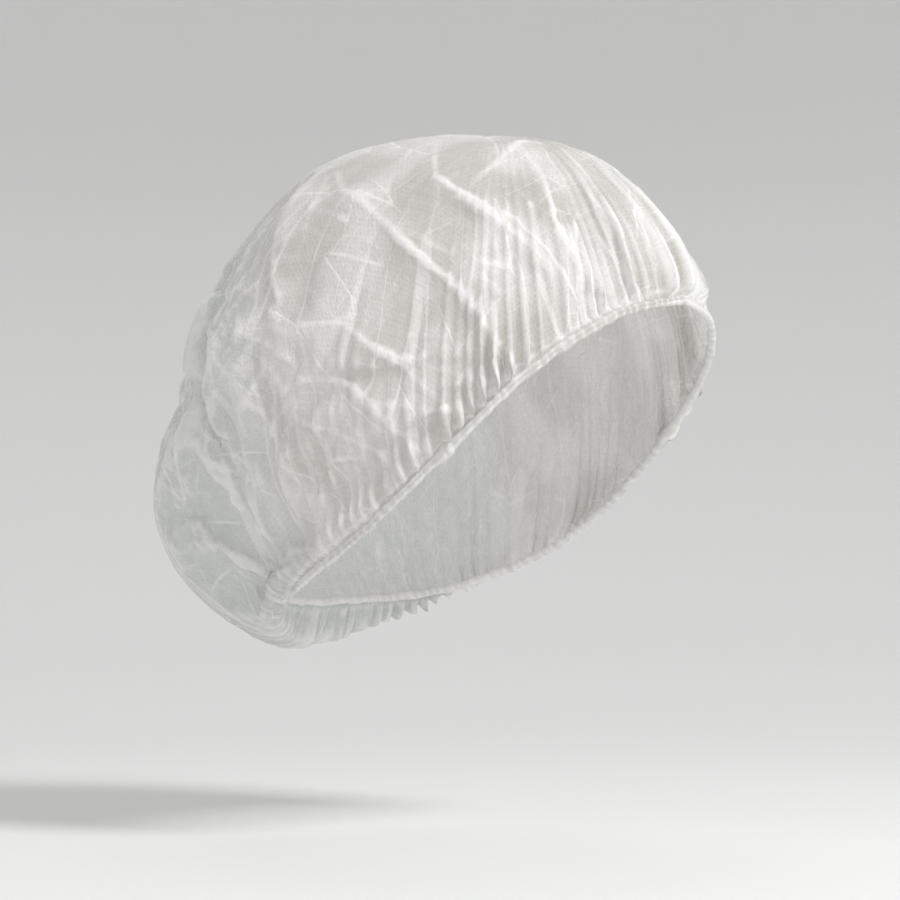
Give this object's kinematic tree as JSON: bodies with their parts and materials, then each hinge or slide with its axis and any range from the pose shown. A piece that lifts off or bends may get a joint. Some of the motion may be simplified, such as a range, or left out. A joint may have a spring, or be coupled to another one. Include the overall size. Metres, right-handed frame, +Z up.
{
  "type": "disposable bouffant hair cover cap",
  "caption": "Gathered bouffant cap of thin see-through nonwoven fabric with an elastic edge, in its worn shape, close at the forehead and bagging out behind.",
  "frame": {"origin": "middle of the head opening, where a head holds the cap", "axes": "+Z up out of the crown, -Y towards the wearer's face, +X towards the wearer's left"},
  "size_m": [0.2007, 0.2372, 0.2077],
  "materials": {
    "crown": "thin white spunbonded nonwoven, see-through, with soft creases",
    "elastic_band": "white nonwoven hem rolled and gathered round its elastic"
  },
  "bodies": {
    "root": {"crown": "crown", "elastic_band": "elastic_band"}
  },
  "joints": []
}
